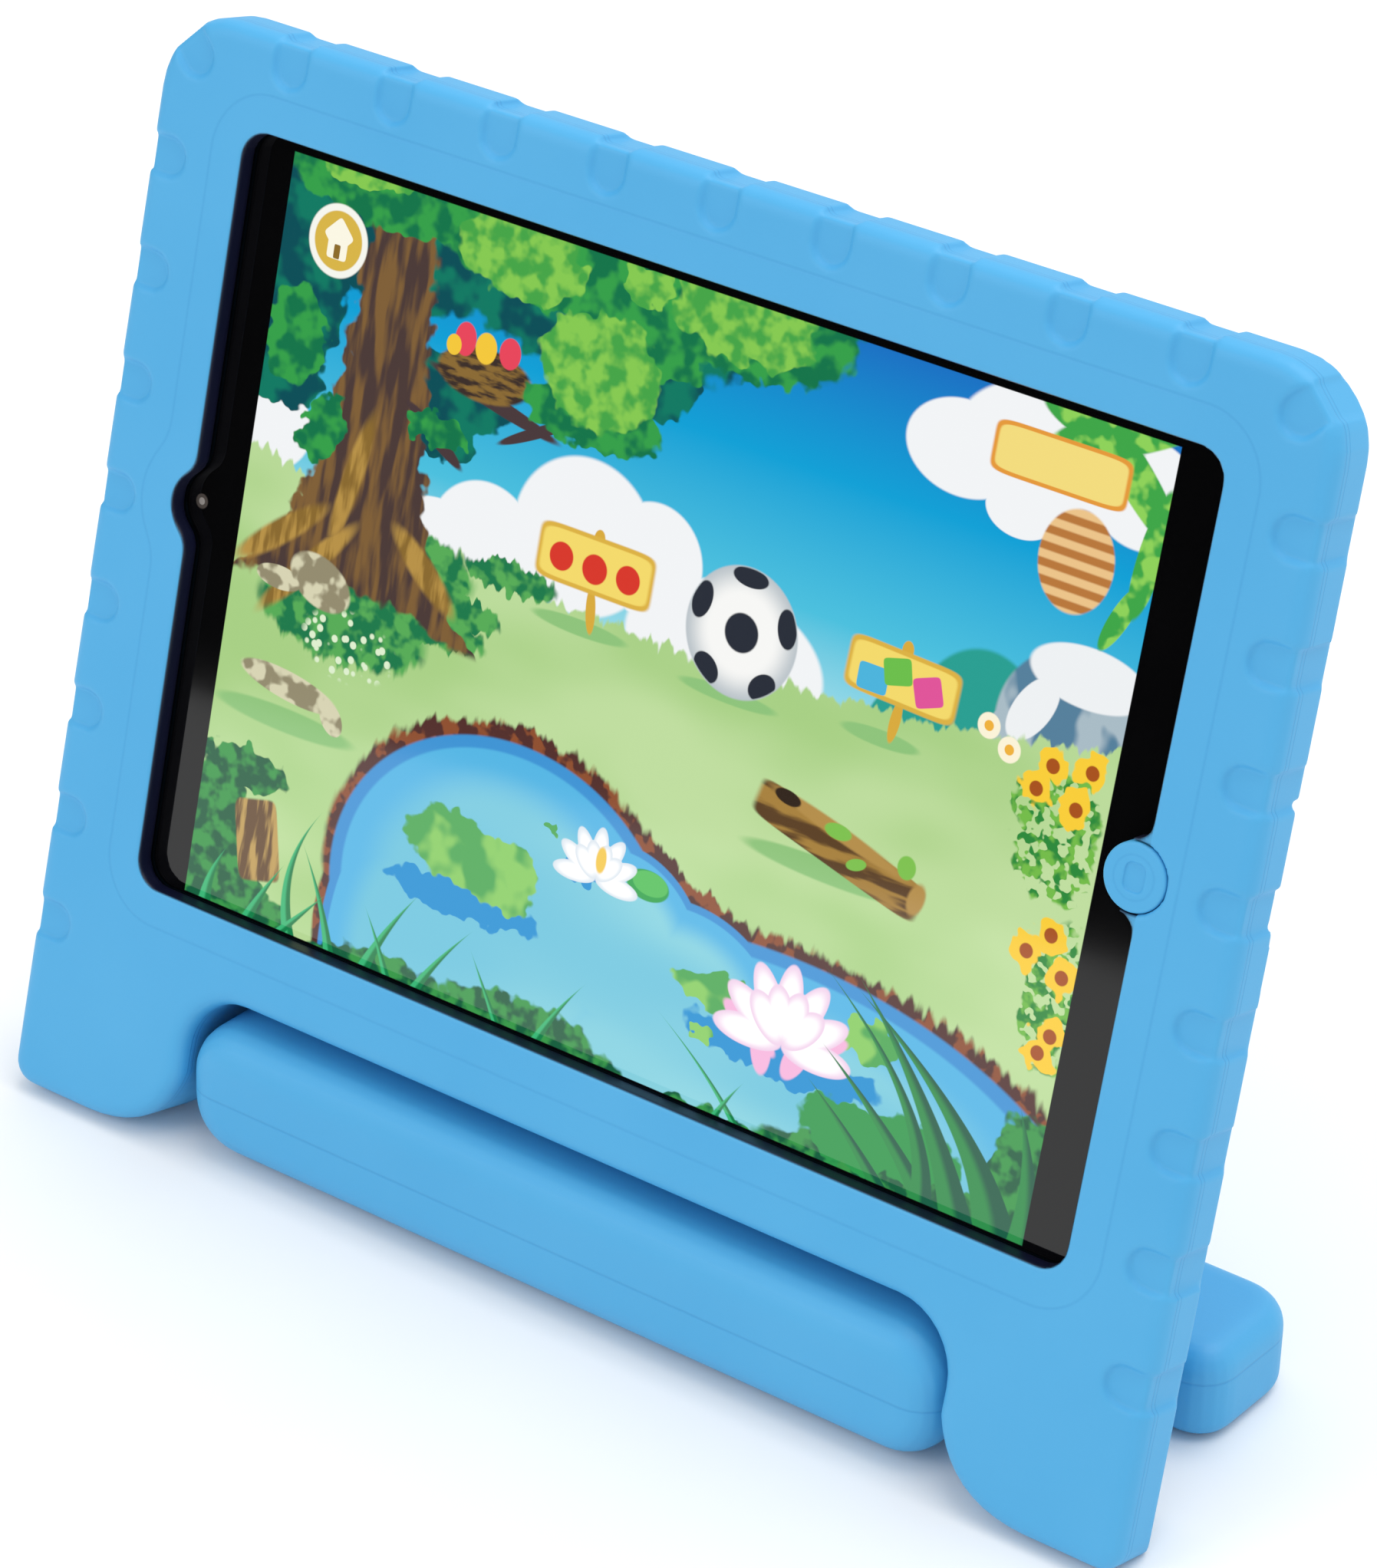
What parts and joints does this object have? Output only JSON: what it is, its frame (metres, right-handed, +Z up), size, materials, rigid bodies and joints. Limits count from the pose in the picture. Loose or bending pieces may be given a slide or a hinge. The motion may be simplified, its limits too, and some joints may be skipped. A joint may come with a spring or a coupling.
{
  "type": "kids toy tablet",
  "caption": "Small touch-screen tablet in a thick moulded foam case, with a loop handle that folds back as a stand and swings down for carrying.",
  "frame": {"origin": "bottom centre of the part's box, on the surface that it stands on", "axes": "+X to the right across the screen, +Y towards the back, +Z up; the screen faces -Y and leans back 16 degrees"},
  "size_m": [0.215, 0.065, 0.1733],
  "materials": {
    "foam": "matte",
    "steel": "satin",
    "nylon": "satin",
    "housing_metal": "satin",
    "screen_glass": "gloss",
    "black_plastic": "matte",
    "white_plastic": "matte",
    "cell_foil": "satin",
    "circuit_board": "satin",
    "thin_plate": "satin",
    "flex_film": "satin"
  },
  "bodies": {
    "case": {"case_body": "foam", "hinge_pin_left": "steel", "hinge_pin_right": "steel", "tablet_housing": "housing_metal", "cover_glass": "screen_glass", "glass_gasket": "black_plastic", "display_panel": "black_plastic", "backlight_tray": "white_plastic", "battery_cell_left": "cell_foil", "battery_cell_right": "cell_foil", "logic_board": "circuit_board", "board_shield": "thin_plate", "board_screw_1": "steel", "board_screw_2": "steel", "board_screw_3": "steel", "board_screw_4": "steel", "battery_flex": "flex_film", "display_flex": "flex_film", "port_flex": "flex_film", "speaker_upper": "black_plastic", "speaker_lower": "black_plastic", "charging_port": "thin_plate", "headphone_jack": "black_plastic", "microphone": "thin_plate", "wireless_antenna": "flex_film", "front_camera": "black_plastic", "rear_camera": "black_plastic", "rear_camera_window": "screen_glass", "home_button_switch": "thin_plate", "key_bracket": "thin_plate", "power_key_bracket": "thin_plate"},
    "handle": {"handle_loop": "foam", "hinge_bush_left": "nylon", "hinge_bush_right": "nylon"},
    "home_key": {"home_key_tongue": "foam"},
    "home_button": {"home_button": "screen_glass"},
    "power_key": {"power_button": "housing_metal"},
    "volume_up_key": {"volume_up_button": "housing_metal"},
    "volume_down_key": {"volume_down_button": "housing_metal"},
    "side_switch": {"side_switch": "housing_metal"}
  },
  "joints": [
    {"name": "handle_swing", "type": "hinge", "parent": "case", "child": "handle", "pos_m": [0, -0.02021, 0.01277], "axis": [-1, 0, 0], "range_deg": [0, 103]},
    {"name": "home_key_bend", "type": "hinge", "parent": "case", "child": "home_key", "pos_m": [0.0955, -0.00407, 0.09917], "axis": [0, -0.2756, -0.9613], "range_deg": [0, 5]},
    {"name": "home_button_press", "type": "slide", "parent": "case", "child": "home_button", "axis": [0, 0.9613, -0.2756], "range_m": [0, 0.0004], "stiffness_N_per_m": 3000},
    {"name": "power_press", "type": "slide", "parent": "case", "child": "power_key", "axis": [1, 0, 0], "range_m": [0, 0.0004], "stiffness_N_per_m": 3000},
    {"name": "volume_up_press", "type": "slide", "parent": "case", "child": "volume_up_key", "axis": [0, -0.2756, -0.9613], "range_m": [0, 0.0004], "stiffness_N_per_m": 3000},
    {"name": "volume_down_press", "type": "slide", "parent": "case", "child": "volume_down_key", "axis": [0, -0.2756, -0.9613], "range_m": [0, 0.0004], "stiffness_N_per_m": 3000},
    {"name": "side_switch_slide", "type": "slide", "parent": "case", "child": "side_switch", "axis": [1, 0, 0], "range_m": [0, 0.0015]}
  ],
  "couplings": [
    {"joint": "home_key_bend", "follows": "home_button_press", "rad_per_m": 200}
  ]
}
